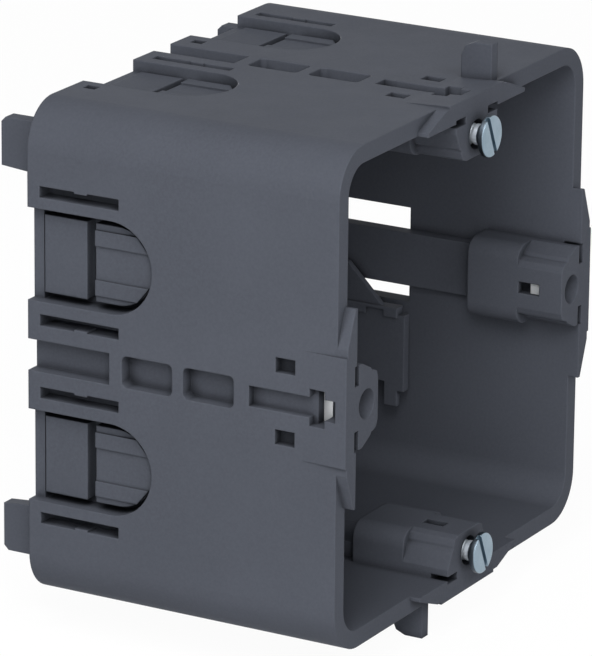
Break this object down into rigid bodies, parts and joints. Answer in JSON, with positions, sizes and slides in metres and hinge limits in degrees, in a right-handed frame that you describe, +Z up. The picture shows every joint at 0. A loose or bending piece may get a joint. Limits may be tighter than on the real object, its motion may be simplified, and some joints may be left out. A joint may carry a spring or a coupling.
{
  "type": "flush device box",
  "caption": "Square moulded flush box, open at the front, with fixing bosses and slotted screws for a wiring device and round-ended cable entries in three walls.",
  "frame": {"origin": "centre of the 60 mm fixing circle in the plane of the front rim", "axes": "+X right as seen from the open front, +Y from the mouth into the box, +Z up"},
  "size_m": [0.0712, 0.0596, 0.0808],
  "materials": {
    "housing_plastic": "satin",
    "entry_plastic": "satin",
    "nut_steel": "satin",
    "screw_steel": "satin"
  },
  "bodies": {
    "box": {"housing": "housing_plastic", "plate_nut_right": "nut_steel", "plate_nut_bottom": "nut_steel", "plate_nut_left": "nut_steel", "plate_nut_top": "nut_steel", "entry_flap_bottom_first": "entry_plastic", "entry_flap_bottom_second": "entry_plastic", "entry_flap_left_first": "entry_plastic", "entry_flap_left_second": "entry_plastic", "entry_flap_top_first": "entry_plastic", "entry_flap_top_second": "entry_plastic", "entry_plate_bottom_first": "entry_plastic", "entry_plate_bottom_second": "entry_plastic", "entry_plate_left_first": "entry_plastic", "entry_plate_left_second": "entry_plastic", "entry_plate_top_first": "entry_plastic", "entry_plate_top_second": "entry_plastic", "strain_relief": "housing_plastic"},
    "top_screw": {"screw_top": "screw_steel"},
    "bottom_screw": {"screw_bottom": "screw_steel"}
  },
  "joints": [
    {"name": "top_screw_turn", "type": "hinge", "parent": "box", "child": "top_screw", "pos_m": [0, 0, 0.03], "axis": [0, 1, 0], "continuous": true},
    {"name": "bottom_screw_turn", "type": "hinge", "parent": "box", "child": "bottom_screw", "pos_m": [0, 0, -0.03], "axis": [0, 1, 0], "continuous": true}
  ]
}
